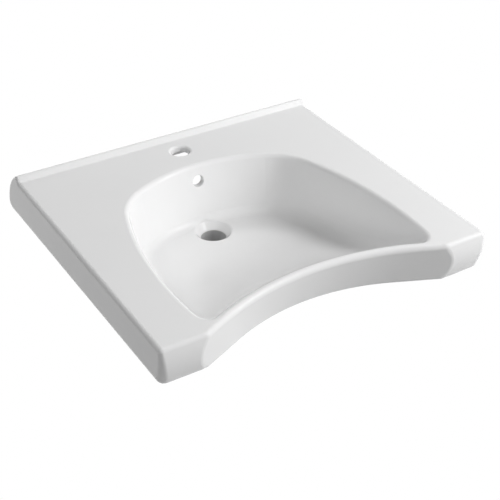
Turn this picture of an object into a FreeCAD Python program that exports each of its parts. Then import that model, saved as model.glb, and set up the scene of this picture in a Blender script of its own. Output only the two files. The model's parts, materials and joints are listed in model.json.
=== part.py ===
import FreeCAD, Part
import math
import os
from types import SimpleNamespace

import Sketcher

# A wall-hung washbasin for wheelchair users: one glazed casting with a concave front and a ramped bowl,
# hung on two wall fixings. Millimetres. The origin is on the wall, midway between the two fixings.
# X runs to the user's right, Y into the wall and Z up.

SIZES = {
    "overrun": 20.0,
    "touch": 0.01,
    # Slab: deck, apron and rear lip
    "width": 600.0,
    "depth": 606.0,
    "apron_height": 73.5,
    "underside_slope_share": 0.0185,
    "deck_thickness": 12.0,
    "deck_above_fixing": 50.0,
    "side_wall": 13.0,
    "front_wall": 18.0,
    "rear_wall_top": 40.0,
    "rear_wall_foot": 16.0,
    "underside_round": 16.0,
    "edge_round": 7.5,
    "lip_end_round": 4.5,
    "under_round": 14.0,
    "front_crown_radius": 98.0,
    "front_crest_below_deck": 26.0,
    "lip_foot_from_rear": 63.0,
    "lip_crest_from_rear": 56.0,
    "lip_height": 11.5,
    "lip_foot_round": 4.0,
    "lip_crest_round": 5.0,
    "rear_roll_radius": 105.0,
    "rear_under_radius": 20.0,
    # Concave front
    "front_apex_top": 57.5,
    "front_apex_bottom": 77.0,
    "front_arc_top": 446.0,
    "front_arc_bottom": 346.0,
    "front_half_top": 190.0,
    "front_half_bottom": 143.0,
    "front_corner_round": 13.0,
    "front_edge_round": 7.0,
    # Bowl
    "bowl_rear_from_wall": 167.0,
    "bowl_half_width": 216.5,
    "bowl_widest_from_front": 125.0,
    "bowl_rear_radius": 275.0,
    "bowl_corner_radius": 110.0,
    "bowl_side_pull_in": 75.4,
    "bowl_depth": 108.0,
    "bowl_rear_draw_in": 23.0,
    "bowl_side_draw_in": 22.0,
    "bowl_wall": 11.0,
    "bowl_tool_reach": 40.0,
    "ramp_axis_from_front": 388.0,
    "ramp_top_from_front": 71.5,
    "ramp_foot_share": 0.3762,
    "rim_round_share": 0.023,
    "bowl_round_front": 18.0,
    "bowl_round_side": 30.0,
    "bowl_round_rear": 16.0,
    # Holes
    "tap_hole_radius": 17.5,
    "tap_hole_round": 5.0,
    "tap_hole_from_wall": 106.0,
    "overflow_radius": 10.5,
    "overflow_round": 2.0,
    "overflow_below_deck": 31.0,
    "waste_radius": 23.0,
    "waste_from_wall": 226.0,
    "waste_recess_radius": 34.0,
    "waste_recess_depth": 13.0,
    "waste_boss_radius": 37.0,
    "waste_boss_depth": 46.0,
    "waste_round": 2.0,
    "waste_recess_round": 4.0,
    # Wall side
    "rail_width": 354.0,
    "rail_height": 28.0,
    "rail_proud": 2.0,
    "rail_thickness": 16.0,
    "rail_round": 3.0,
    "fixing_spacing": 280.0,
    "fixing_hole_radius": 8.0,
    "lug_width": 74.0,
    "lug_from_wall": 36.0,
    "service_width": 190.0,
    "service_below_deck": 55.0,
    "service_round": 16.0,
    # Wall fixings
    "stud_radius": 5.0,
    "stud_past_wall": 22.0,
    "stud_past_nut": 6.0,
    "stud_shank_radius": 4.5,
    "stud_shank_past_wall": 1.0,
    "stud_thread_past_washer": 8.0,
    "stud_end_chamfer": 1.0,
    "fixing_clearance": 0.2,
    "bush_flange_radius": 14.5,
    "bush_flange": 3.0,
    "bush_end_gap": 1.0,
    "washer_radius": 10.5,
    "washer_thickness": 2.0,
    "nut_across_flats": 17.0,
    "nut_height": 8.0,
    "nut_chamfer": 1.0,
    "cap_radius": 13.0,
    "cap_wall": 1.6,
    "cap_crown": 4.0,
    "cap_headroom": 2.0,
}

HALF_TURN = 180.0
FULL_TURN = 360.0
HEXAGON = 6
SIDES = {"left": -1, "right": 1}
V = FreeCAD.Vector

doc = FreeCAD.newDocument("accessible_basin")
sheet = doc.addObject("Spreadsheet::Sheet", "sizes")


class Size:
    """A length as a number, together with the sheet expression that gives it."""

    def __init__(self, value, text):
        self.value = value
        self.text = text

    def __add__(self, other):
        return Size(self.value + number(other), f"({self.text} + {words(other)})")

    def __sub__(self, other):
        return Size(self.value - number(other), f"({self.text} - {words(other)})")

    def __mul__(self, other):
        return Size(self.value * number(other), f"({self.text} * {words(other)})")

    def __truediv__(self, other):
        return Size(self.value / number(other), f"({self.text} / {words(other)})")

    def __neg__(self):
        return Size(-self.value, f"(0 - {self.text})")


def number(item):
    return item.value if isinstance(item, Size) else item


def words(item):
    return item.text if isinstance(item, Size) else repr(item)


def root(item):
    return Size(math.sqrt(item.value), f"sqrt({item.text})")


def fill_sheet():
    for row, (alias, value) in enumerate(SIZES.items(), start=1):
        sheet.set(f"A{row}", alias)
        sheet.set(f"B{row}", str(value))
        sheet.setAlias(f"B{row}", alias)
    doc.recompute()


def size(alias):
    return Size(float(sheet.get(alias)), f"sizes.{alias}")


def bind(item, **sizes):
    """Ties properties to the sheet. A double underscore in a name stands for a dot."""
    for name, value in sizes.items():
        item.setExpression(name.replace("__", "."), value.text)


def made(kind, name, **properties):
    item = doc.addObject(kind, name)
    for key, value in properties.items():
        setattr(item, key, value)
    return item


def point(x, y, z):
    return V(number(x), number(y), number(z))


LEVEL = FreeCAD.Rotation()
UPRIGHT = FreeCAD.Rotation(V(1, 1, 1), HALF_TURN * 2 / 3)
FACING_WALL = FreeCAD.Rotation(V(1, 0, 0), HALF_TURN / 2)
ORIGIN = (-1, 1)
START, END, CENTRE = range(1, 4)


def short_arc(start, end, radius, turn):
    """The shorter arc between two points. Turn is 1 for anticlockwise and -1 for clockwise."""
    chord = end - start
    rise = math.sqrt(max(radius ** 2 - (chord.Length / 2) ** 2, 0))
    across = V(-chord.y, chord.x).normalize()
    centre = (start + end) / 2 + across * rise * turn
    first, last = (start, end) if turn > 0 else (end, start)
    angles = [math.atan2(spot.y - centre.y, spot.x - centre.x) for spot in (first, last)]
    return Part.ArcOfCircle(Part.Circle(centre, V(0, 0, 1), radius), *angles)


class Outline:
    """A closed sketch whose points and radii are tied to the sheet."""

    def __init__(self, name, turn, x=None, z=None):
        self.sketch = doc.addObject("Sketcher::SketchObject", name)
        self.sketch.Placement = FreeCAD.Placement(V(number(x or 0), 0, number(z or 0)), turn)
        if x:
            bind(self.sketch, Placement__Base__x=x)
        if z:
            bind(self.sketch, Placement__Base__z=z)

    def rule(self, kind, *target, value):
        made_rule = self.sketch.addConstraint(Sketcher.Constraint(kind, *target, number(value)))
        if isinstance(value, Size):
            self.sketch.setExpression(f"Constraints[{made_rule}]", value.text)

    def pin(self, piece, end, x, y):
        self.rule("DistanceX", *ORIGIN, piece, end, value=x)
        self.rule("DistanceY", *ORIGIN, piece, end, value=y)

    def chain(self, steps):
        """Each step is a point and the piece to the next one: None for a line, or a radius and a turn."""
        spots = [V(number(x), number(y)) for x, y, _ in steps]
        ends = []
        for place, (_, _, bend) in enumerate(steps):
            here, there = spots[place], spots[(place + 1) % len(spots)]
            if bend is None:
                self.sketch.addGeometry(Part.LineSegment(here, there))
            else:
                self.sketch.addGeometry(short_arc(here, there, number(bend[0]), bend[1]))
            ends.append((START, END) if bend is None or bend[1] > 0 else (END, START))
        for place, (x, y, bend) in enumerate(steps):
            before = place - 1 if place else len(steps) - 1
            self.pin(place, ends[place][0], x, y)
            joint = Sketcher.Constraint("Coincident", before, ends[before][1], place, ends[place][0])
            self.sketch.addConstraint(joint)
            if bend is not None:
                self.rule("Radius", place, value=bend[0])
        doc.recompute()
        return self.sketch


def extrusion(name, sketch, length, both_ways=False):
    body = made("Part::Extrusion", name, Base=sketch, DirMode="Normal", Solid=True, Symmetric=both_ways)
    bind(body, LengthFwd=length)
    return body


def revolution(name, sketch, axis, x=None, y=None):
    body = made("Part::Revolution", name, Source=sketch, Axis=axis, Angle=FULL_TURN, Solid=True)
    if x:
        bind(body, Base__x=x)
    if y:
        bind(body, Base__y=y)
    return body


def loft(name, sections):
    return made("Part::Loft", name, Sections=sections, Solid=True, Ruled=True)


def cut(name, base, tool):
    return made("Part::Cut", name, Base=base, Tool=tool)


def common(name, base, tool):
    return made("Part::Common", name, Base=base, Tool=tool)


def fuse(name, *shapes):
    return made("Part::MultiFuse", name, Shapes=list(shapes), Refine=True)


def cylinder(name, radius, height, turn=LEVEL, x=None, y=None, z=None):
    body = made("Part::Cylinder", name)
    body.Placement = FreeCAD.Placement(V(), turn)
    bind(body, Radius=radius, Height=height)
    for key, value in (("x", x), ("y", y), ("z", z)):
        if value:
            body.setExpression(f"Placement.Base.{key}", value.text)
    return body


def box(name, length, width, height, x, y, z):
    body = made("Part::Box", name)
    bind(body, Length=length, Width=width, Height=height)
    bind(body, Placement__Base__x=x, Placement__Base__y=y, Placement__Base__z=z)
    return body


def face_at(shape, spot):
    vertex = Part.Vertex(spot)
    return min(shape.Faces, key=lambda face: face.distToShape(vertex)[0])


def has(shape, edge):
    return any(edge.isSame(other) for other in shape.Edges)


def numbers_of(shape, edges):
    return [place for place, edge in enumerate(shape.Edges, start=1) if any(edge.isSame(e) for e in edges)]


def flat_at(edge, axis, place):
    """Whether the whole edge lies in the plane where the given axis, X, Y or Z, has this value."""
    limits = (getattr(edge.BoundBox, f"{axis}Min"), getattr(edge.BoundBox, f"{axis}Max"))
    return max(abs(limit - number(place)) for limit in limits) < s.touch.value


def rounded(name, base, edges, radius_at):
    """Rounds edges. The radius at each end of an edge comes from a function of that end's place."""
    rows = []
    for place in numbers_of(base.Shape, edges):
        ends = base.Shape.Edges[place - 1].Vertexes
        rows.append((place, number(radius_at(ends[0].Point)), number(radius_at(ends[-1].Point))))
    body = made("Part::Fillet", name, Base=base, Edges=rows)
    doc.recompute()
    return body


fill_sheet()
s = SimpleNamespace(**{alias: size(alias) for alias in SIZES})
deck = s.deck_above_fixing
bottom = deck - s.apron_height
rear = -s.rail_proud
front = rear - s.depth
half = s.width / 2
floor = deck - s.bowl_depth
void_top = deck - s.deck_thickness
rear_bottom = bottom - s.depth * s.underside_slope_share
ramp_axis = front - s.ramp_axis_from_front
floor_run = -s.bowl_rear_from_wall - front - s.ramp_top_from_front
ramp_foot = -s.bowl_rear_from_wall - floor_run * s.ramp_foot_share
ramp_run = ramp_foot - front - s.ramp_top_from_front
bowl_length = -s.bowl_rear_from_wall - front - s.bowl_widest_from_front


def arc_radius(run, rise):
    """The radius of an arc that starts level and climbs by the rise over the run."""
    return (run * run + rise * rise) / (rise * 2)


def slab_profile():
    """The slab's end: crowned front, an underside that falls to the rear, and a rear that rolls over."""
    crown, crest, slope = s.front_crown_radius, s.front_crest_below_deck, s.underside_slope_share
    stretch = root(slope * slope + 1)
    drop = s.apron_height - crest + slope * crown
    back = -(drop * slope + root(stretch * stretch * crown * crown - drop * drop)) / (stretch * stretch)

    roll, heel = s.rear_roll_radius, s.rear_under_radius
    heel_y = rear - heel
    heel_z = bottom - slope * (heel_y - front) + heel * stretch
    crest_y, crest_z = rear - s.lip_crest_from_rear, deck + s.lip_height
    across, up = heel_y - crest_y, heel_z - crest_z
    near, far = roll, roll - heel
    apart = root(across * across + up * up)
    along = (near * near - far * far + apart * apart) / (apart * 2)
    away = root(near * near - along * along)
    roll_y = crest_y + across * along / apart + up * away / apart
    roll_z = crest_z + up * along / apart - across * away / apart
    return Outline("slab_profile", UPRIGHT).chain([
        (front + crown - root(crown * crown - crest * crest), deck, (crown, 1)),
        (front + crown + back, deck - crest - drop - slope * back, None),
        (heel_y - heel * slope / stretch, heel_z - heel / stretch, (heel, 1)),
        (roll_y + (heel_y - roll_y) * roll / far, roll_z + (heel_z - roll_z) * roll / far, (roll, 1)),
        (crest_y, crest_z, None),
        (rear - s.lip_foot_from_rear, deck, None),
    ])


def front_section(name, height, grow):
    """The concave front at one height: an arc with straight ends, closed in front of the slab."""
    share = (deck - height) / s.apron_height
    apex = front + s.front_apex_top + (s.front_apex_bottom - s.front_apex_top) * share + grow
    plain_radius = s.front_arc_top + (s.front_arc_bottom - s.front_arc_top) * share
    radius = plain_radius + grow
    arc_half = (s.front_half_top + (s.front_half_bottom - s.front_half_top) * share) * radius / plain_radius
    rise = root(radius * radius - arc_half * arc_half)
    end_y = apex - radius + rise
    chord = front - s.overrun
    reach = arc_half + (end_y - chord) * rise / arc_half
    return Outline(name, LEVEL, z=height).chain([
        (reach, chord, None),
        (arc_half, end_y, (radius, 1)),
        (-arc_half, end_y, None),
        (-reach, chord, None),
    ])


def front_cut(name, grow):
    upper = front_section(f"{name}_upper", deck + s.overrun, grow)
    lower = front_section(f"{name}_lower", bottom - s.overrun, grow)
    return loft(name, [upper, lower])


def on_end(edge):
    return flat_at(edge, "X", half) or flat_at(edge, "X", -half)


def slab():
    """The outer form, with the lip, the concave front and the ends all softened."""
    plain = extrusion("slab_plain", slab_profile(), s.width, both_ways=True)
    doc.recompute()
    foot, crest = rear - s.lip_foot_from_rear, rear - s.lip_crest_from_rear
    lip = [e for e in plain.Shape.Edges if flat_at(e, "Y", foot) or flat_at(e, "Y", crest)]
    middle = (crest - (crest - foot) / 2).value

    def lip_radius(spot):
        return s.lip_crest_round if spot.y > middle else s.lip_foot_round

    lipped = rounded("slab_lip", plain, lip, lip_radius)
    hollowed = cut("slab_concave", lipped, front_cut("front_cut", Size(0, "0")))
    doc.recompute()
    middle_z = deck - s.apron_height / 2
    spots = [point((half - s.side_wall) * sign, front, middle_z) for sign in SIDES.values()]
    flats = [face_at(hollowed.Shape, spot) for spot in spots]
    flat_rear = max(flat.BoundBox.YMax for flat in flats) + s.touch.value
    under_spot = point(0, front / 2, bottom - s.depth / 2 * s.underside_slope_share)
    under = face_at(hollowed.Shape, under_spot)
    corners = [e for flat in flats for e in flat.Edges if not has(under, e) and not flat_at(e, "Z", deck)]
    corners = [e for e in corners if not on_end(e)]
    cornered = rounded("slab_corners", hollowed, corners, lambda v: s.front_corner_round)

    edges = cornered.Shape.Edges
    ends = [e for e in edges if on_end(e)]
    fronts = [e for e in edges if flat_at(e, "Z", deck) and e.BoundBox.YMax < front.value / 2]
    under = face_at(cornered.Shape, under_spot)
    lowers = [e for e in under.Edges if e.BoundBox.YMax < front.value / 2 and not on_end(e)]

    def edge_radius(spot):
        if spot.z > (deck + s.touch).value:
            return s.lip_end_round
        if spot.z > bottom.value:
            return s.edge_round
        inward = flat_rear < spot.y < front.value / 2
        return s.front_edge_round if inward else s.under_round

    return rounded("slab_round", cornered, ends + fronts + lowers, edge_radius)


def fixing_x(side):
    return s.fixing_spacing / 2 * SIDES[side]


def underside():
    """The open space under the deck, inside the apron and around the two fixing lugs."""
    low = rear_bottom - s.overrun
    lean = (s.rear_wall_top - s.rear_wall_foot) / (void_top - rear_bottom)
    sketch = Outline("underside_profile", UPRIGHT).chain([
        (front + s.front_wall, void_top, None),
        (front + s.front_wall, low, None),
        (lean * s.overrun - s.rear_wall_foot, low, None),
        (-s.rear_wall_top, void_top, None),
    ])
    block = extrusion("underside_block", sketch, s.width - s.side_wall * 2, both_ways=True)
    doc.recompute()
    uprights = [e for e in block.Shape.Edges if e.BoundBox.ZLength > s.deck_thickness.value]
    corners = rounded("underside_corners", block, uprights, lambda v: s.underside_round)
    lugs = [
        box(
            f"lug_{side}", s.lug_width, s.lug_from_wall, void_top - low,
            fixing_x(side) - s.lug_width / 2, -s.lug_from_wall, low,
        )
        for side in SIDES
    ]
    front_inside = front_cut("front_inside", s.front_wall)
    return cut("underside", corners, fuse("underside_solids", front_inside, *lugs))


def bowl_section(name, height, grow):
    """The bowl's wall at one height: a rear arc, two corner arcs and two long side arcs."""
    share = (deck - height) / s.bowl_depth
    rear_in = s.bowl_rear_draw_in * share - grow
    side_in = s.bowl_side_draw_in * share - grow
    rear = -s.bowl_rear_from_wall - rear_in
    widest = front + s.bowl_widest_from_front
    rear_r = s.bowl_rear_radius - rear_in
    side_r = arc_radius(bowl_length, s.bowl_side_pull_in) - side_in
    corner_r = s.bowl_corner_radius - (rear_in + side_in) / 2
    side_x = s.bowl_half_width - side_in - side_r
    rear_y = rear - rear_r
    start_y = front - s.bowl_tool_reach

    rear_centre = V(0, rear_y.value)
    side_centre = V(side_x.value, widest.value)
    near, far = (rear_r - corner_r).value, (side_r - corner_r).value
    apart = side_centre - rear_centre
    along = (near ** 2 - far ** 2 + apart.Length ** 2) / (2 * apart.Length)
    away = math.sqrt(near ** 2 - along ** 2)
    unit = V(apart).normalize()
    corner_centre = rear_centre + unit * along + V(unit.y, -unit.x) * away
    rear_end = corner_centre + (corner_centre - rear_centre).normalize() * corner_r.value
    side_end = corner_centre + (corner_centre - side_centre).normalize() * corner_r.value
    start_x = side_x.value + math.sqrt(side_r.value ** 2 - (start_y.value - widest.value) ** 2)
    start = V(start_x, start_y.value)

    def other(spot):
        return V(-spot.x, spot.y)

    outline = Outline(name, LEVEL, z=height)
    sketch = outline.sketch
    sketch.addGeometry([
        short_arc(start, side_end, side_r.value, 1),
        short_arc(side_end, rear_end, corner_r.value, 1),
        short_arc(rear_end, other(rear_end), rear_r.value, 1),
        short_arc(other(rear_end), other(side_end), corner_r.value, 1),
        short_arc(other(side_end), other(start), side_r.value, 1),
        Part.LineSegment(other(start), start),
    ])
    for place in range(4):
        sketch.addConstraint(Sketcher.Constraint("Tangent", place, END, place + 1, START))
    sketch.addConstraint(Sketcher.Constraint("Coincident", 4, END, 5, START))
    sketch.addConstraint(Sketcher.Constraint("Coincident", 5, END, 0, START))
    outline.pin(0, CENTRE, side_x, widest)
    outline.pin(2, CENTRE, 0, rear_y)
    outline.pin(4, CENTRE, -side_x, widest)
    for place, radius in enumerate((side_r, corner_r, rear_r, corner_r, side_r)):
        outline.rule("Radius", place, value=radius)
    for end in (START, END):
        outline.rule("DistanceY", *ORIGIN, 5, end, value=start_y)
    doc.recompute()
    return sketch


def ramp_section(name, top, grow):
    """The bowl's floor in the middle: flat at the back, then an arc that climbs to the front rim.

    It is drawn on the far side of the axis it turns about, so that no seam runs through the bowl."""
    radius = arc_radius(ramp_run, s.bowl_depth) + grow
    foot = ramp_axis * 2 - ramp_foot
    low = floor - grow
    rise = low + radius - top
    back = ramp_axis * 2 + s.bowl_rear_from_wall - s.overrun
    return Outline(name, UPRIGHT).chain([
        (foot + root(radius * radius - rise * rise), top, (radius, -1)),
        (foot, low, None),
        (back, low, None),
        (back, top, None),
    ])


def bowl_space(name, top, grow):
    """The bowl's inside, or its outside when it is grown by the wall."""
    upper = bowl_section(f"{name}_upper", top, grow)
    lower = bowl_section(f"{name}_lower", floor - s.overrun, grow)
    walls = loft(f"{name}_walls", [upper, lower])
    ramp = revolution(f"{name}_floor", ramp_section(f"{name}_ramp", top, grow), V(0, 0, 1), y=ramp_axis)
    sharp = common(f"{name}_sharp", walls, ramp)
    doc.recompute()
    flat = face_at(sharp.Shape, point(0, ramp_foot + s.overrun, floor - grow))
    climb = face_at(sharp.Shape, point(0, ramp_foot - s.overrun, floor - grow))
    edges = [e for e in sharp.Shape.Edges if has(flat, e) != has(climb, e) and not flat_at(e, "Z", top)]
    middle = (floor + s.bowl_depth / 2).value
    rear_limit = (-s.bowl_rear_from_wall - s.bowl_corner_radius / 2 - s.bowl_rear_draw_in).value

    def floor_round(spot):
        if spot.z > middle:
            return s.bowl_round_front + grow
        return (s.bowl_round_rear if spot.y > rear_limit else s.bowl_round_side) + grow

    return rounded(name, sharp, edges, floor_round)


def waste_space():
    """The waste hole with its deep seat, which cuts into the round at the rear of the floor."""
    under = floor - s.waste_boss_depth - s.overrun
    axis = -s.waste_from_wall
    lean = s.bowl_rear_draw_in / s.bowl_depth
    sketch = Outline("waste_profile", UPRIGHT).chain([
        (axis, under, None),
        (axis + s.waste_radius, under, None),
        (axis + s.waste_radius, floor - s.waste_recess_depth, None),
        (axis + s.waste_recess_radius, floor, None),
        (axis + s.waste_recess_radius + lean * s.overrun, floor + s.overrun, None),
        (axis, floor + s.overrun, None),
    ])
    return revolution("waste_space", sketch, V(0, 0, 1), y=axis)


def service_space():
    """The arch in the rear wall that lets tap tails and pipes through."""
    reach = s.service_width / 2
    bend = s.service_round
    top = deck - s.service_below_deck
    low = rear_bottom - s.overrun
    sketch = Outline("service_profile", FACING_WALL).chain([
        (reach, low, None),
        (reach, top - bend, (bend, 1)),
        (reach - bend, top, None),
        (bend - reach, top, (bend, 1)),
        (-reach, top - bend, None),
        (-reach, low, None),
    ])
    return extrusion("service_space", sketch, (s.rear_wall_top + s.overrun) * 2, both_ways=True)


def rail():
    """The flat pad on the rear that bears on the wall."""
    block = box(
        "rail_block", s.rail_width, s.rail_thickness, s.rail_height,
        -s.rail_width / 2, -s.rail_thickness, -s.rail_height / 2,
    )
    doc.recompute()
    bearing = [e for e in block.Shape.Edges if flat_at(e, "Y", 0)]
    return rounded("rail", block, bearing, lambda v: s.rail_round)


def basin_sharp():
    """The casting before its rims are softened: slab, bowl, waste boss and rail, less every hollow."""
    space = bowl_space("bowl_space", deck + s.overrun, Size(0, "0"))
    shell = bowl_space("bowl_shell", deck - s.deck_thickness / 2, s.bowl_wall)
    apron = cut("apron", slab(), underside())
    boss = cylinder(
        "waste_boss", s.waste_boss_radius, s.waste_boss_depth,
        y=-s.waste_from_wall, z=floor - s.waste_boss_depth,
    )
    tap_hole = cylinder(
        "tap_hole", s.tap_hole_radius, s.deck_thickness + s.overrun * 2,
        y=-s.tap_hole_from_wall, z=void_top - s.overrun,
    )
    overflow = cylinder(
        "overflow", s.overflow_radius, s.bowl_wall + s.overrun * 2, FACING_WALL,
        y=s.bowl_wall + s.overrun - s.bowl_rear_from_wall, z=deck - s.overflow_below_deck,
    )
    fixing_holes = [
        cylinder(
            f"fixing_hole_{side}", s.fixing_hole_radius, s.lug_from_wall + s.overrun * 2, FACING_WALL,
            x=fixing_x(side), y=s.overrun,
        )
        for side in SIDES
    ]
    blank = fuse("basin_blank", apron, shell, boss, rail())
    waste, service = waste_space(), service_space()
    hollows = fuse("basin_hollows", space, waste, service, tap_hole, overflow, *fixing_holes)
    body = cut("basin_sharp", blank, hollows)
    doc.recompute()
    return body


def basin():
    """The finished casting: its rims, hole edges and waste seat are softened."""
    sharp = basin_sharp()
    top = face_at(sharp.Shape, point(half - s.side_wall, -s.tap_hole_from_wall, deck))
    rims = [e for wire in top.Wires if not wire.isSame(top.OuterWire) for e in wire.Edges]
    bowl_limit = -s.bowl_rear_from_wall.value

    def rim_radius(spot):
        return s.tap_hole_round if spot.y > bowl_limit else floor_run * s.rim_round_share

    rimmed = rounded("basin_rims", sharp, rims, rim_radius)

    rear_in = s.bowl_rear_draw_in * s.overflow_below_deck / s.bowl_depth
    wall_middle = s.bowl_wall / 2 - s.bowl_rear_from_wall - rear_in
    throat = face_at(rimmed.Shape, point(s.overflow_radius, wall_middle, deck - s.overflow_below_deck))
    mouth = [e for e in throat.Edges if e.BoundBox.YMax < wall_middle.value]
    mouthed = rounded("basin_overflow", rimmed, mouth, lambda v: s.overflow_round)

    middle = floor - s.waste_recess_depth / 2
    seat_radius = (s.waste_radius + s.waste_recess_radius) / 2
    step_y, step_z = s.waste_recess_radius - s.waste_from_wall, floor + s.waste_round
    spots = [point(seat_radius, -s.waste_from_wall, middle)]
    spots += [point(s.waste_round * sign, step_y, step_z) for sign in SIDES.values()]
    faces = [face_at(mouthed.Shape, spot) for spot in spots]
    lips = [e for e in mouthed.Shape.Edges if sum(has(face, e) for face in faces) == 1]
    lips = [e for e in lips if e.BoundBox.ZLength < s.waste_recess_depth.value / 2]

    def lip_radius(spot):
        return s.waste_recess_round if spot.z > middle.value else s.waste_round

    return rounded("basin", mouthed, lips, lip_radius)


def turned(name, side, steps):
    """A round piece on a fixing's axis. Each step is a place along Y and a radius."""
    x = fixing_x(side)
    return revolution(name, Outline(f"{name}_profile", UPRIGHT, x=x).chain(steps), V(0, 1, 0), x=x)


bore = s.stud_radius + s.fixing_clearance
seat_y = -s.lug_from_wall
flange_y = seat_y - s.bush_flange
washer_y = flange_y - s.washer_thickness
nut_y = washer_y - s.nut_height
stud_y = nut_y - s.stud_past_nut


def stud(name, side):
    """A stud with a thread on each end and a waisted shank between. Its rear end screws into the wall."""
    wall_end, chamfer, shank = s.stud_past_wall, s.stud_end_chamfer, s.stud_shank_radius
    nut_thread = washer_y + s.stud_thread_past_washer
    return turned(name, side, [
        (stud_y, 0, None),
        (wall_end, 0, None),
        (wall_end, s.stud_radius - chamfer, None),
        (wall_end - chamfer, s.stud_radius, None),
        (s.stud_shank_past_wall, s.stud_radius, None),
        (s.stud_shank_past_wall, shank, None),
        (nut_thread, shank, None),
        (nut_thread, s.stud_radius, None),
        (stud_y + chamfer, s.stud_radius, None),
        (stud_y, s.stud_radius - chamfer, None),
    ])


def bush(name, side):
    sleeve = s.fixing_hole_radius - s.fixing_clearance
    return turned(name, side, [
        (flange_y, bore, None),
        (-s.bush_end_gap, bore, None),
        (-s.bush_end_gap, sleeve, None),
        (seat_y, sleeve, None),
        (seat_y, s.bush_flange_radius, None),
        (flange_y, s.bush_flange_radius, None),
    ])


def washer(name, side):
    return turned(name, side, [
        (washer_y, bore, None),
        (flange_y, bore, None),
        (flange_y, s.washer_radius, None),
        (washer_y, s.washer_radius, None),
    ])


def nut(name, side):
    """A hexagon nut whose corners are chamfered on both faces."""
    hexagon = made("Part::Prism", f"{name}_hexagon", Polygon=HEXAGON)
    hexagon.Placement = FreeCAD.Placement(V(), FACING_WALL)
    corner = s.nut_across_flats / math.sqrt(HEXAGON / 2)
    bind(hexagon, Circumradius=corner, Height=s.nut_height)
    bind(hexagon, Placement__Base__x=fixing_x(side), Placement__Base__y=washer_y)
    turned_blank = turned(f"{name}_blank", side, [
        (nut_y, bore, None),
        (washer_y, bore, None),
        (washer_y, corner - s.nut_chamfer, None),
        (washer_y - s.nut_chamfer / 2, corner, None),
        (nut_y + s.nut_chamfer / 2, corner, None),
        (nut_y, corner - s.nut_chamfer, None),
    ])
    return common(name, hexagon, turned_blank)


def cap(name, side):
    """A domed cover that seats on the bush's flange and clears the nut and the stud's end."""
    outer, inner = s.cap_radius, s.cap_radius - s.cap_wall
    dome = (outer * outer + s.cap_crown * s.cap_crown) / (s.cap_crown * 2)
    inside = dome - s.cap_wall
    inner_top = stud_y - s.cap_headroom
    centre = inner_top + inside
    return turned(name, side, [
        (flange_y, outer, None),
        (centre - root(dome * dome - outer * outer), outer, (dome, 1)),
        (inner_top - s.cap_wall, 0, None),
        (inner_top, 0, (inside, -1)),
        (centre - root(inside * inside - inner * inner), inner, None),
        (flange_y, inner, None),
    ])


def export(pieces):
    doc.recompute()
    faults = [item.Name for item in doc.Objects if {"Invalid", "Error"} & set(item.State)]
    faults += [item.Label for item in pieces if item.Shape.isNull() or not item.Shape.isValid()]
    if faults:
        raise RuntimeError(f"not built: {faults}")
    os.makedirs("parts", exist_ok=True)
    for item in pieces:
        item.Shape.exportStep(f"parts/{item.Label}.step")


pieces = [basin()]
for side in SIDES:
    for make in (stud, bush, washer, nut, cap):
        pieces.append(make(f"{make.__name__}_{side}", side))
for piece in pieces:
    piece.Label = piece.Name
export(pieces)
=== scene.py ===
import json
import math

import bpy
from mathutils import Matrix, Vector


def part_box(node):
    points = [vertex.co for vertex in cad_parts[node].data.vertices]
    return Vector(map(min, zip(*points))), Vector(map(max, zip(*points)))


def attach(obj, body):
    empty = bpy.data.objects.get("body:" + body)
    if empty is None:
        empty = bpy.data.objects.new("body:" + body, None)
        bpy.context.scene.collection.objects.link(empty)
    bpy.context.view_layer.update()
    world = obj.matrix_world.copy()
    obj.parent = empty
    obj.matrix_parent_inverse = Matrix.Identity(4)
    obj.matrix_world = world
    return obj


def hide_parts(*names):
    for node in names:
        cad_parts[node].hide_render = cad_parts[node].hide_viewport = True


# A wall-hung washbasin for wheelchair users, in metres, in the frame of its solids: the origin is on the
# wall midway between the two fixings, X runs to the user's right, Y into the wall and Z up.

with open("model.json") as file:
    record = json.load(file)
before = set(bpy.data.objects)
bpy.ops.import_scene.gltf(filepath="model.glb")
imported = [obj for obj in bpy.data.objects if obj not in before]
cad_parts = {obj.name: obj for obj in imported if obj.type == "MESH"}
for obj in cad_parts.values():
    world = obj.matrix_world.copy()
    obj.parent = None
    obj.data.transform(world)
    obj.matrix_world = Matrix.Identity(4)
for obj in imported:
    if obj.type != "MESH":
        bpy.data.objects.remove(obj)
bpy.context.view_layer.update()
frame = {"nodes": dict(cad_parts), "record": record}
nodes = frame["nodes"]
mounts = {row["name"]: row for row in frame["record"]["mounts"]}

FULL_TURN = 2 * math.pi
MM = 0.001
SIDES = ("left", "right")


# Shader helpers

def put(tree, kind, values=None, **settings):
    """Adds a node, sets its properties, then sets or links its inputs."""
    node = tree.nodes.new(f"ShaderNode{kind}")
    for name, value in settings.items():
        setattr(node, name, value)
    for name, value in (values or {}).items():
        if isinstance(value, bpy.types.NodeSocket):
            tree.links.new(value, node.inputs[name])
        else:
            node.inputs[name].default_value = value
    return node


def ramp(tree, value, low, high, to_low=0.0, to_high=1.0):
    """Maps a value from one span to another, smoothly and held at both ends."""
    spans = {"Value": value, "From Min": low, "From Max": high, "To Min": to_low, "To Max": to_high}
    return put(tree, "MapRange", spans, interpolation_type="SMOOTHSTEP").outputs["Result"]


# Places of a Mix node's colour sockets, whose names are also those of its other sockets.
FIRST_COLOUR, SECOND_COLOUR, MIXED_COLOUR = 6, 7, 2


def blend_colours(tree, share, first, second):
    mix = put(tree, "Mix", {"Factor": share}, data_type="RGBA")
    for place, colour in ((FIRST_COLOUR, first), (SECOND_COLOUR, second)):
        if isinstance(colour, bpy.types.NodeSocket):
            tree.links.new(colour, mix.inputs[place])
        else:
            mix.inputs[place].default_value = (*colour, 1.0)
    return mix.outputs[MIXED_COLOUR]


def calculate(tree, operation, first, second):
    node = put(tree, "Math", {0: first, 1: second}, operation=operation)
    return node.outputs[0]


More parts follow.
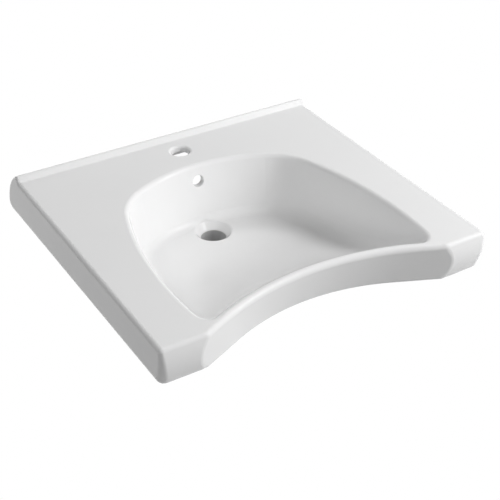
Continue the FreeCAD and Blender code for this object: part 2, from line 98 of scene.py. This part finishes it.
def new_group(name, inputs, outputs):
    tree = bpy.data.node_groups.new(name, "ShaderNodeTree")
    for way, sockets in (("INPUT", inputs), ("OUTPUT", outputs)):
        for label, kind in sockets:
            tree.interface.new_socket(label, in_out=way, socket_type=f"NodeSocket{kind}")
    entry, leave = tree.nodes.new("NodeGroupInput"), tree.nodes.new("NodeGroupOutput")
    return tree, entry.outputs, leave.inputs


def skin_group():
    """What a fired or moulded skin shows close up: slow waves, a fine grain and patches of tone."""
    tree, given, made = new_group(
        "skin",
        [("Vector", "Vector"), ("Wave Scale", "Float"), ("Grain Scale", "Float"), ("Grain Share", "Float"),
         ("Patch Scale", "Float")],
        [("Height", "Float"), ("Tone", "Float"), ("Grain", "Float")],
    )

    def noise(scale, detail):
        values = {"Vector": given["Vector"], "Scale": given[scale], "Detail": detail}
        return put(tree, "TexNoise", values).outputs["Fac"]

    waves = noise("Wave Scale", 1.0)
    grain = noise("Grain Scale", 2.0)
    patches = noise("Patch Scale", 3.0)
    fine = calculate(tree, "MULTIPLY", grain, given["Grain Share"])
    tree.links.new(calculate(tree, "ADD", waves, fine), made["Height"])
    tree.links.new(ramp(tree, patches, *PATCH_SPAN), made["Tone"])
    tree.links.new(grain, made["Grain"])
    return tree


# Noise values between which the patches, and the gloss that follows the grain, run from end to end.
PATCH_SPAN = (0.35, 0.65)
GRAIN_SPAN = (0.3, 0.7)
SKIN = skin_group()


class Finish:
    """A material in the making: its node tree, its shader and the piece's own coordinates."""

    def __init__(self, name, **constants):
        self.material = bpy.data.materials.new(name)
        self.material.use_nodes = True
        self.tree = self.material.node_tree
        self.shader = self.tree.nodes["Principled BSDF"]
        for socket, value in constants.items():
            self.shader.inputs[socket.replace("_", " ")].default_value = value
        self.place = put(self.tree, "TexCoord").outputs["Object"]

    def skin(self, **values):
        node = put(self.tree, "Group", node_tree=SKIN)
        self.tree.links.new(self.place, node.inputs["Vector"])
        for label, value in values.items():
            node.inputs[label.replace("_", " ")].default_value = value
        return node.outputs

    def drive(self, **sockets):
        for label, source in sockets.items():
            self.tree.links.new(source, self.shader.inputs[label.replace("_", " ")])

    def bump(self, height, depth):
        values = {"Height": height, "Distance": depth, "Strength": 1.0}
        self.drive(Normal=put(self.tree, "Bump", values).outputs["Normal"])


# Finishes

GLAZE_WHITE = (0.862, 0.862, 0.862)
GLAZE_POOLED = (0.848, 0.849, 0.85)
CLAY_PALE = (0.78, 0.755, 0.70)
CLAY_GREY = (0.70, 0.675, 0.625)
# Bore colours: bare clay painted darker, to stand in for the shade inside the waste's bore.
BORE_PAINTED_SHADE_PALE = (0.47, 0.47, 0.47)
BORE_PAINTED_SHADE_GREY = (0.40, 0.40, 0.40)
ZINC_BLUE = (0.70, 0.72, 0.75)
ZINC_STRAW = (0.74, 0.72, 0.66)

# Roughness from the smoothest spot to the roughest, and what bare clay adds to the glaze's.
GLAZE_ROUGHNESS = (0.15, 0.2)
ZINC_ROUGHNESS = (0.22, 0.42)
CLAY_ROUGHER = 0.6

# Depth of each skin's relief.
GLAZE_RELIEF = 0.25 * MM
ZINC_RELIEF = 0.05 * MM
MOULD_RELIEF = 0.06 * MM

# Where the glaze fades into clay: along Y at the wall, below the origin at the waste's end, and in the
# waste's bore out from its wall and down from its seat, where the clay also carries painted shade. The
# edge wanders by the last value.
WALL_FADE = (-0.7 * MM, -0.2 * MM)
WASTE_FADE = (102.6 * MM, 103.6 * MM)
BORE_FADE = (0.5 * MM, 2.0 * MM)
SEAT_FADE = (-0.5 * MM, 1.5 * MM)
RAGGED = 0.5 * MM


def waste_bore(finish, below):
    """One on the wall of the waste's bore, under its glazed seat, and zero elsewhere."""
    tree, waste = finish.tree, mounts["waste_outlet"]
    across, back, height = waste["pos_m"]
    radius, length = waste["dims"]["r_mm"] * MM, waste["dims"]["length_mm"] * MM
    level = put(tree, "VectorMath", {0: finish.place, 1: (1.0, 1.0, 0.0)}, operation="MULTIPLY")
    axis = {0: level.outputs["Vector"], 1: (across, back, 0.0)}
    away = put(tree, "VectorMath", axis, operation="DISTANCE").outputs["Value"]
    top = -height - length / 2
    within = ramp(tree, away, *(radius + fade for fade in BORE_FADE), 1.0, 0.0)
    under_seat = ramp(tree, below, *(top + fade for fade in SEAT_FADE))
    return calculate(tree, "MULTIPLY", within, under_seat)


def glazed_ceramic():
    """White gloss glaze over fired clay, which shows bare where the ware meets the wall and the waste; in
    the waste's bore the clay is painted darker as shade.
    """
    finish = Finish("glazed_ceramic", IOR=1.52)
    tree = finish.tree
    skin = finish.skin(Wave_Scale=11.0, Grain_Scale=750.0, Grain_Share=0.03, Patch_Scale=5.0)
    clay = finish.skin(Wave_Scale=120.0, Grain_Scale=1400.0, Grain_Share=0.9, Patch_Scale=22.0)
    place = put(tree, "SeparateXYZ", {"Vector": finish.place})
    ragged = calculate(tree, "MULTIPLY", clay["Tone"], RAGGED)
    rear = calculate(tree, "ADD", place.outputs["Y"], ragged)
    below = calculate(tree, "SUBTRACT", ragged, place.outputs["Z"])
    wall_side = ramp(tree, rear, *WALL_FADE)
    waste_end = ramp(tree, below, *WASTE_FADE)
    bore = waste_bore(finish, below)
    bare = calculate(tree, "MAXIMUM", calculate(tree, "MAXIMUM", wall_side, waste_end), bore)
    glaze = blend_colours(tree, skin["Tone"], GLAZE_WHITE, GLAZE_POOLED)
    outside = blend_colours(tree, clay["Tone"], CLAY_PALE, CLAY_GREY)
    # Painted shade: the bore's clay is darker than the outside's, for the shade in the waste's bore.
    inside = blend_colours(tree, clay["Tone"], BORE_PAINTED_SHADE_PALE, BORE_PAINTED_SHADE_GREY)
    body = blend_colours(tree, bore, outside, inside)
    gloss = ramp(tree, skin["Tone"], 0.0, 1.0, *GLAZE_ROUGHNESS)
    matt = calculate(tree, "MULTIPLY", bare, CLAY_ROUGHER)
    finish.drive(
        Base_Color=blend_colours(tree, bare, glaze, body),
        Roughness=calculate(tree, "ADD", gloss, matt),
    )
    rough = calculate(tree, "MULTIPLY", clay["Grain"], bare)
    finish.bump(calculate(tree, "ADD", skin["Height"], rough), GLAZE_RELIEF)
    return finish.material


def zinc_plate():
    """Bright zinc on steel, with a faint blue and straw bloom."""
    finish = Finish("zinc_plate", Metallic=1.0)
    skin = finish.skin(Wave_Scale=160.0, Grain_Scale=2600.0, Grain_Share=0.5, Patch_Scale=90.0)
    finish.drive(
        Base_Color=blend_colours(finish.tree, skin["Tone"], ZINC_BLUE, ZINC_STRAW),
        Roughness=ramp(finish.tree, skin["Grain"], *GRAIN_SPAN, *ZINC_ROUGHNESS),
    )
    finish.bump(skin["Height"], ZINC_RELIEF)
    return finish.material


def moulded(name, colour, flow_colour, roughness, grain):
    """Moulded plastic with flow marks and the grain of its mould."""
    finish = Finish(name, IOR=1.5)
    skin = finish.skin(Wave_Scale=70.0, Grain_Scale=2200.0, Grain_Share=grain, Patch_Scale=60.0)
    finish.drive(
        Base_Color=blend_colours(finish.tree, skin["Tone"], colour, flow_colour),
        Roughness=ramp(finish.tree, skin["Grain"], *GRAIN_SPAN, *roughness),
    )
    finish.bump(skin["Height"], MOULD_RELIEF)
    return finish.material


finishes = {
    "glazed_ceramic": glazed_ceramic(),
    "zinc_steel": zinc_plate(),
    "bush_nylon": moulded(
        "bush_nylon", colour=(0.82, 0.82, 0.79), flow_colour=(0.78, 0.78, 0.75),
        roughness=(0.42, 0.546), grain=0.5,
    ),
    "cap_plastic": moulded(
        "cap_plastic", colour=(0.86, 0.86, 0.86), flow_colour=(0.84, 0.84, 0.845),
        roughness=(0.2, 0.26), grain=0.1,
    ),
}
for row in frame["record"]["subparts"]:
    nodes[row["node"]].material_slots[0].material = finishes[row["material_slot"]]


# Wall fixings

# Steps in a full turn of the rod and of its threads, the angle in degrees past which an edge stays sharp,
# and the distance within which points are merged.
ROD_STEPS = 40
THREAD_STEPS = 28
STUD_CREASE = 35
MERGE_WITHIN = 0.002 * MM


def start_piece(name):
    """A single vertex at the origin, in edit mode, ready to be extruded."""
    bpy.ops.object.select_all(action="DESELECT")
    bpy.ops.mesh.primitive_plane_add(size=MM)
    piece = bpy.context.object
    piece.name = name
    bpy.ops.object.mode_set(mode="EDIT")
    bpy.ops.mesh.select_all(action="SELECT")
    bpy.ops.mesh.merge(type="CENTER")
    return piece


def draw_line(points):
    """Moves the vertex to the first point of a line in the XY plane and extrudes it along the rest."""
    here = Vector((0.0, 0.0, 0.0))
    for place, (radius, along) in enumerate(points):
        there = Vector((radius, along, 0.0))
        step = {"value": there - here}
        if place == 0:
            bpy.ops.transform.translate(**step)
        else:
            bpy.ops.mesh.extrude_region_move(TRANSFORM_OT_translate=step)
        here = there


def tidy_mesh():
    bpy.ops.mesh.select_all(action="SELECT")
    bpy.ops.mesh.remove_doubles(threshold=MERGE_WITHIN)
    bpy.ops.mesh.normals_make_consistent(inside=False)


def turned(name, points):
    """A round piece about Y, spun from a line of radii and places along the axis."""
    piece = start_piece(name)
    draw_line(points)
    bpy.ops.mesh.select_all(action="SELECT")
    bpy.ops.mesh.spin(steps=ROD_STEPS, angle=FULL_TURN, center=(0, 0, 0), axis=(0, 1, 0))
    tidy_mesh()
    bpy.ops.object.mode_set(mode="OBJECT")
    return piece


def thread(name, start, turns, pitch, root, crest):
    """A screw thread's ridge: a triangle that winds round Y."""
    piece = start_piece(name)
    bury, ridge = 0.3 * MM, 0.9 * pitch
    draw_line([(root - bury, start), (crest, start + ridge / 2), (root - bury, start + ridge)])
    bpy.ops.mesh.select_all(action="SELECT")
    bpy.ops.mesh.edge_face_add()
    bpy.ops.mesh.delete(type="ONLY_FACE")
    bpy.ops.object.mode_set(mode="OBJECT")
    winding = piece.modifiers.new("winding", "SCREW")
    winding.axis = "Y"
    winding.screw_offset = pitch
    winding.iterations = turns
    winding.steps = winding.render_steps = THREAD_STEPS
    bpy.ops.object.modifier_apply(modifier=winding.name)
    bpy.ops.object.mode_set(mode="EDIT")
    bpy.ops.mesh.select_all(action="SELECT")
    bpy.ops.mesh.fill_holes(sides=3)
    tidy_mesh()
    bpy.ops.object.mode_set(mode="OBJECT")
    return piece


def join(pieces):
    bpy.ops.object.select_all(action="DESELECT")
    for piece in pieces:
        piece.select_set(True)
    bpy.context.view_layer.objects.active = pieces[0]
    bpy.ops.object.join()
    return pieces[0]


def stud():
    """A stud with a machine thread on each end and a waisted shank between them."""
    low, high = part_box("stud_left")
    radius, core, shank = 5.0 * MM, 4.1 * MM, 4.5 * MM
    pitch, bevel = 1.5 * MM, 0.8 * MM
    nut_length, wall_length = 22 * MM, 21 * MM
    nut_turns, wall_turns = 14, 13
    near, far = low.y, high.y
    nut_run, wall_run = near + nut_length, far - wall_length
    rod = turned("stud", [
        (0, near), (core - bevel, near), (core, near + bevel), (core, nut_run - bevel), (shank, nut_run),
        (shank, wall_run), (core, wall_run + bevel), (core, far - bevel), (core - bevel, far), (0, far),
    ])
    nut_thread = thread("nut_thread", near + bevel / 2, nut_turns, pitch, core, radius)
    wall_thread = thread("wall_thread", wall_run, wall_turns, pitch, core, radius)
    return join([rod, nut_thread, wall_thread])


def place_pair(master, kind, slot, crease):
    """One copy of a fixing on each side, each with its own mesh, in place of the plain solids."""
    for side in SIDES:
        node = f"{kind}_{side}"
        low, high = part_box(node)
        bpy.ops.object.select_all(action="DESELECT")
        master.select_set(True)
        bpy.context.view_layer.objects.active = master
        bpy.ops.object.duplicate(linked=False)
        piece = bpy.context.object
        piece.name = f"{kind}_{side}_cut"
        piece.location.x = (low.x + high.x) / 2
        bpy.ops.object.transform_apply(location=True, rotation=True, scale=True)
        bpy.ops.object.shade_smooth_by_angle(angle=math.radians(crease))
        piece.data.materials.clear()
        piece.data.materials.append(finishes[slot])
        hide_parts(node)
        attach(piece, "root")
    bpy.data.objects.remove(master)


place_pair(stud(), "stud", "zinc_steel", STUD_CREASE)


# Studio

CENTRE = Vector((0.0, -0.30, 0.0))
LAMP_DISTANCE = 2.5
FILL_BOX = (2.0, 0.5)
FLOOR_HEIGHT = -0.85
FLOOR_WIDTH = 40.0
FLOOR_GREY = (0.5, 0.5, 0.5, 1.0)
WHITE = (1.0, 1.0, 1.0, 1.0)
CAMERA_PLACE = (-0.8124, -1.7016, 1.0318)
CAMERA_DIP = 33.938
CAMERA_TURN = -31.096
CAMERA_LENS = 79.454
CAMERA_SENSOR = 36.0


def lamp(name, bearing, rise, box_size, watts, mirrored=False):
    """A soft box that faces the ware. Its bearing is from X towards Y and its rise is above the level."""
    turn, lift = math.radians(bearing), math.radians(rise)
    way = Vector((math.cos(turn) * math.cos(lift), math.sin(turn) * math.cos(lift), math.sin(lift)))
    bpy.ops.object.light_add(type="AREA", location=CENTRE + way * LAMP_DISTANCE)
    box = bpy.context.object
    box.name = name
    box.rotation_euler = way.to_track_quat("Z", "Y").to_euler()
    box.data.shape = "RECTANGLE"
    box.data.size, box.data.size_y = box_size
    box.data.energy = watts
    box.visible_glossy = mirrored


def seen_directly(tree):
    """One for what the camera sees, also in a mirror or through glass, and zero for other light."""
    path = put(tree, "LightPath").outputs
    mirrored = calculate(tree, "MAXIMUM", path["Is Glossy Ray"], path["Is Transmission Ray"])
    return calculate(tree, "MAXIMUM", path["Is Camera Ray"], mirrored)


def pale_floor():
    """A plain floor, white to the eye, that can be looked through from below."""
    bpy.ops.object.select_all(action="DESELECT")
    bpy.ops.mesh.primitive_plane_add(size=FLOOR_WIDTH, location=(0, 0, FLOOR_HEIGHT))
    floor = bpy.context.object
    floor.name = "floor"
    material = bpy.data.materials.new("floor_paint")
    material.use_nodes = True
    tree = material.node_tree
    tree.nodes.clear()
    paint = put(tree, "BsdfDiffuse", {"Color": FLOOR_GREY})
    white = put(tree, "Emission", {"Color": WHITE, "Strength": 1.0})
    mix = put(tree, "MixShader", {0: seen_directly(tree), 1: paint.outputs[0], 2: white.outputs[0]})
    clear = put(tree, "BsdfTransparent")
    under = put(tree, "NewGeometry").outputs["Backfacing"]
    one_way = put(tree, "MixShader", {0: under, 1: mix.outputs[0], 2: clear.outputs[0]})
    put(tree, "OutputMaterial", {"Surface": one_way.outputs[0]})
    floor.data.materials.append(material)


def white_world():
    """White to the eye and in mirrors, and dark to all other light, which the lamps give."""
    world = bpy.data.worlds.new("studio")
    world.use_nodes = True
    bpy.context.scene.world = world
    tree = world.node_tree
    background = tree.nodes["Background"]
    background.inputs["Color"].default_value = WHITE
    tree.links.new(seen_directly(tree), background.inputs["Strength"])


pale_floor()
white_world()

# The keys shape the ware without a glare, and the narrow gleam alone draws the lights along its edges.
lamp("key", bearing=319, rise=30, box_size=(0.8, 1.9), watts=46.5)
lamp("low_key", bearing=335, rise=6, box_size=(1.0, 0.4), watts=7.5)
lamp("gleam", bearing=322, rise=34, box_size=(0.3, 1.4), watts=4.5, mirrored=True)
lamp("front_fill", bearing=252, rise=20, box_size=FILL_BOX, watts=11.5)
lamp("left_fill", bearing=128, rise=19, box_size=FILL_BOX, watts=9.5)
lamp("rear_fill", bearing=50, rise=50, box_size=FILL_BOX, watts=18.5)
lamp("high_fill", bearing=190, rise=55, box_size=FILL_BOX, watts=10)

bpy.ops.object.camera_add(
    location=CAMERA_PLACE,
    rotation=(math.radians(90 - CAMERA_DIP), 0, math.radians(CAMERA_TURN)),
)
camera = bpy.context.object
camera.name = "camera"
camera.data.sensor_width = CAMERA_SENSOR
camera.data.lens = CAMERA_LENS
scene = bpy.context.scene
scene.camera = camera
scene.view_settings.view_transform = "Standard"
